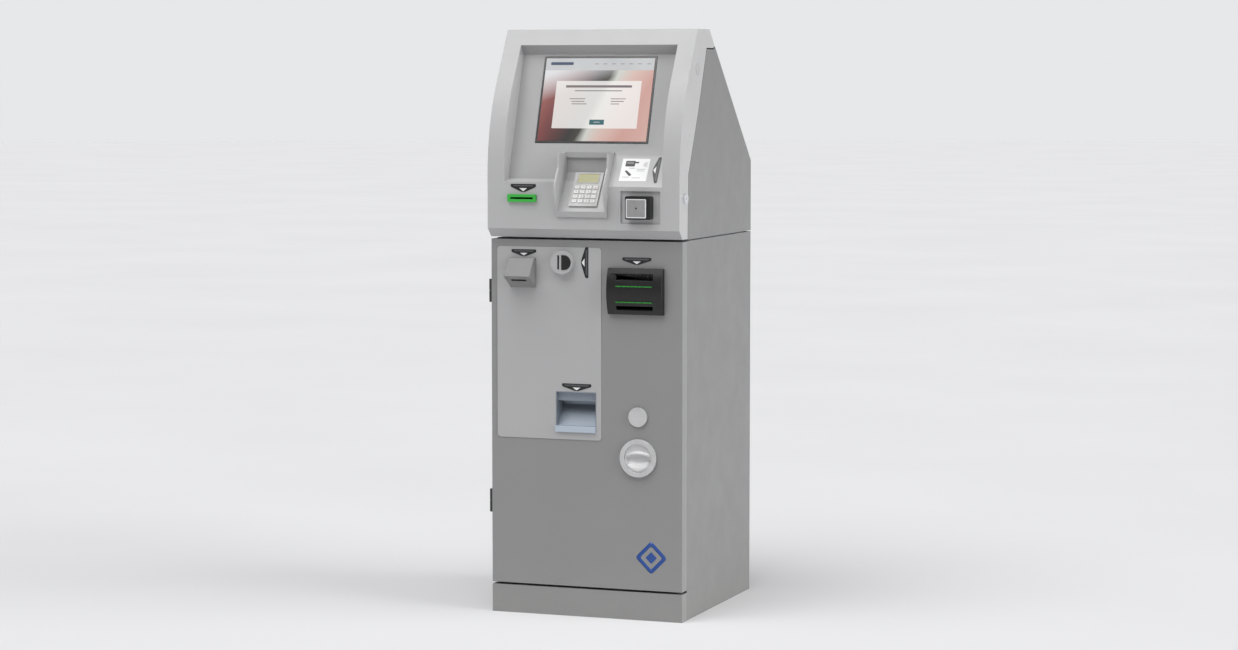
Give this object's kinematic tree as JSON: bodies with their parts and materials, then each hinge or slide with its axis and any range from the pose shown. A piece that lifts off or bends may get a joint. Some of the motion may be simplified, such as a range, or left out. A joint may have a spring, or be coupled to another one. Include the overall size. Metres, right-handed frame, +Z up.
{
  "type": "self-service payment kiosk",
  "caption": "Floor-standing self-service payment kiosk: lockable steel cabinet with coin and banknote units, and a lifting curved fascia with touch screen, PIN pad and card readers.",
  "frame": {"origin": "middle of the cabinet's footprint, on the floor under the plinth", "axes": "+Z up, the customer stands at -Y, +X to the customer's right"},
  "size_m": [0.5575, 0.6249, 1.538],
  "materials": {
    "cabinet_paint": "satin light grey powder coat",
    "door_paint": "satin mid grey powder coat",
    "trim_paint": "satin light grey powder coat",
    "fascia_paint": "fine satin pale grey paint",
    "zinc_steel": "zinc-plated sheet steel",
    "brushed_steel": "brushed stainless steel",
    "chrome": "bright chrome plate",
    "black_plastic": "fine-textured black moulding",
    "black_steel": "black painted steel",
    "pale_plastic": "pale grey satin moulding",
    "pin_pad_plastic": "silver-grey moulding",
    "green_plastic": "glossy green moulding",
    "display_glass": "black bezel and bonded touch glass",
    "module_steel": "dark grey painted housing"
  },
  "bodies": {
    "cabinet": {"plinth": "door_paint", "side_panel_left": "cabinet_paint", "side_panel_right": "cabinet_paint", "rear_panel": "cabinet_paint", "head_floor": "zinc_steel", "module_shelf": "zinc_steel", "head_side_left": "cabinet_paint", "head_side_right": "cabinet_paint", "head_cover": "cabinet_paint", "lift_hinge_fixed": "zinc_steel", "note_recycler": "module_steel", "coin_hopper": "module_steel", "computer": "module_steel", "power_supply": "module_steel", "door_hinge_lower_fixed": "black_steel", "door_hinge_upper_fixed": "black_steel"},
    "door": {"door_panel": "door_paint", "trim_plate": "trim_paint", "scanner_hood": "door_paint", "scanner_module": "black_plastic", "coin_inlet_bezel": "trim_paint", "coin_validator": "module_steel", "coin_tray": "brushed_steel", "note_bezel": "black_plastic", "lock_body": "zinc_steel", "handle_escutcheon": "pale_plastic", "door_hinge_lower_moving": "black_steel", "door_hinge_upper_moving": "black_steel"},
    "handle": {"handle_rotor": "pale_plastic", "handle_cam": "zinc_steel"},
    "bolt": {"bolt_bar": "zinc_steel"},
    "door_lock": {"lock_plug": "chrome"},
    "lock_cover": {"lock_cover": "pale_plastic"},
    "coin_return": {"coin_return_button": "black_plastic"},
    "fascia": {"fascia_shell": "fascia_paint", "display_module": "display_glass", "pin_pad_body": "pin_pad_plastic", "card_bezel": "green_plastic", "card_reader": "module_steel", "contactless_reader": "black_plastic", "lift_hinge_moving": "zinc_steel"},
    "side_lock": {"fascia_lock": "chrome"},
    "strut_cylinder": {"gas_strut_cylinder": "black_steel"},
    "strut_rod": {"gas_strut_rod": "chrome"},
    "key_1_1": {"key_1_1": "pin_pad_plastic"},
    "key_1_2": {"key_1_2": "pin_pad_plastic"},
    "key_1_3": {"key_1_3": "pin_pad_plastic"},
    "key_1_4": {"key_1_4": "pin_pad_plastic"},
    "key_2_1": {"key_2_1": "pin_pad_plastic"},
    "key_2_2": {"key_2_2": "pin_pad_plastic"},
    "key_2_3": {"key_2_3": "pin_pad_plastic"},
    "key_2_4": {"key_2_4": "pin_pad_plastic"},
    "key_3_1": {"key_3_1": "pin_pad_plastic"},
    "key_3_2": {"key_3_2": "pin_pad_plastic"},
    "key_3_3": {"key_3_3": "pin_pad_plastic"},
    "key_3_4": {"key_3_4": "pin_pad_plastic"},
    "key_4_1": {"key_4_1": "pin_pad_plastic"},
    "key_4_2": {"key_4_2": "pin_pad_plastic"},
    "key_4_3": {"key_4_3": "pin_pad_plastic"},
    "key_4_4": {"key_4_4": "pin_pad_plastic"}
  },
  "joints": [
    {"name": "door_hinge", "type": "hinge", "parent": "cabinet", "child": "door", "pos_m": [-0.278, -0.2535, 0.571], "axis": [0, 0, -1], "range_deg": [0, 100]},
    {"name": "handle_turn", "type": "hinge", "parent": "door", "child": "handle", "pos_m": [0.146, -0.2855, 0.426], "axis": [0, 1, 0], "range_deg": [0, 90]},
    {"name": "bolt_slide", "type": "slide", "parent": "door", "child": "bolt", "axis": [1, 0, 0], "range_m": [0, 0.018]},
    {"name": "door_lock_turn", "type": "hinge", "parent": "door", "child": "door_lock", "pos_m": [0.1455, -0.2855, 0.5335], "axis": [0, 1, 0], "range_deg": [0, 90]},
    {"name": "lock_cover_swing", "type": "hinge", "parent": "door", "child": "lock_cover", "pos_m": [0.1455, -0.2855, 0.5535], "axis": [0, 1, 0], "range_deg": [0, 110]},
    {"name": "coin_return_press", "type": "slide", "parent": "door", "child": "coin_return", "axis": [0, 1, 0], "range_m": [0, 0.004], "stiffness_N_per_m": 400},
    {"name": "fascia_lift", "type": "hinge", "parent": "cabinet", "child": "fascia", "pos_m": [0, -0.0315, 1.491], "axis": [-1, 0, 0], "range_deg": [0, 60]},
    {"name": "side_lock_turn", "type": "hinge", "parent": "fascia", "child": "side_lock", "pos_m": [0.266, -0.2715, 1.101], "axis": [-1, 0, 0], "range_deg": [0, 90]},
    {"name": "strut_swing", "type": "hinge", "parent": "cabinet", "child": "strut_cylinder", "pos_m": [-0.236, -0.0855, 1.15], "axis": [-1, 0, 0], "range_deg": [0, 14.72]},
    {"name": "strut_extend", "type": "slide", "parent": "strut_cylinder", "child": "strut_rod", "axis": [0, -0.4886, 0.8725], "range_m": [0, 0.1937]},
    {"name": "key_1_1_press", "type": "slide", "parent": "fascia", "child": "key_1_1", "axis": [0, 0.829, -0.5592], "range_m": [0, 0.0015], "stiffness_N_per_m": 300},
    {"name": "key_1_2_press", "type": "slide", "parent": "fascia", "child": "key_1_2", "axis": [0, 0.829, -0.5592], "range_m": [0, 0.0015], "stiffness_N_per_m": 300},
    {"name": "key_1_3_press", "type": "slide", "parent": "fascia", "child": "key_1_3", "axis": [0, 0.829, -0.5592], "range_m": [0, 0.0015], "stiffness_N_per_m": 300},
    {"name": "key_1_4_press", "type": "slide", "parent": "fascia", "child": "key_1_4", "axis": [0, 0.829, -0.5592], "range_m": [0, 0.0015], "stiffness_N_per_m": 300},
    {"name": "key_2_1_press", "type": "slide", "parent": "fascia", "child": "key_2_1", "axis": [0, 0.829, -0.5592], "range_m": [0, 0.0015], "stiffness_N_per_m": 300},
    {"name": "key_2_2_press", "type": "slide", "parent": "fascia", "child": "key_2_2", "axis": [0, 0.829, -0.5592], "range_m": [0, 0.0015], "stiffness_N_per_m": 300},
    {"name": "key_2_3_press", "type": "slide", "parent": "fascia", "child": "key_2_3", "axis": [0, 0.829, -0.5592], "range_m": [0, 0.0015], "stiffness_N_per_m": 300},
    {"name": "key_2_4_press", "type": "slide", "parent": "fascia", "child": "key_2_4", "axis": [0, 0.829, -0.5592], "range_m": [0, 0.0015], "stiffness_N_per_m": 300},
    {"name": "key_3_1_press", "type": "slide", "parent": "fascia", "child": "key_3_1", "axis": [0, 0.829, -0.5592], "range_m": [0, 0.0015], "stiffness_N_per_m": 300},
    {"name": "key_3_2_press", "type": "slide", "parent": "fascia", "child": "key_3_2", "axis": [0, 0.829, -0.5592], "range_m": [0, 0.0015], "stiffness_N_per_m": 300},
    {"name": "key_3_3_press", "type": "slide", "parent": "fascia", "child": "key_3_3", "axis": [0, 0.829, -0.5592], "range_m": [0, 0.0015], "stiffness_N_per_m": 300},
    {"name": "key_3_4_press", "type": "slide", "parent": "fascia", "child": "key_3_4", "axis": [0, 0.829, -0.5592], "range_m": [0, 0.0015], "stiffness_N_per_m": 300},
    {"name": "key_4_1_press", "type": "slide", "parent": "fascia", "child": "key_4_1", "axis": [0, 0.829, -0.5592], "range_m": [0, 0.0015], "stiffness_N_per_m": 300},
    {"name": "key_4_2_press", "type": "slide", "parent": "fascia", "child": "key_4_2", "axis": [0, 0.829, -0.5592], "range_m": [0, 0.0015], "stiffness_N_per_m": 300},
    {"name": "key_4_3_press", "type": "slide", "parent": "fascia", "child": "key_4_3", "axis": [0, 0.829, -0.5592], "range_m": [0, 0.0015], "stiffness_N_per_m": 300},
    {"name": "key_4_4_press", "type": "slide", "parent": "fascia", "child": "key_4_4", "axis": [0, 0.829, -0.5592], "range_m": [0, 0.0015], "stiffness_N_per_m": 300}
  ],
  "couplings": [
    {"joint": "bolt_slide", "follows": "handle_turn", "m_per_rad": 0.011459},
    {"joint": "strut_swing", "follows": "fascia_lift", "ratio": 0.24208},
    {"joint": "strut_extend", "follows": "fascia_lift", "m_per_rad": 0.18403}
  ]
}
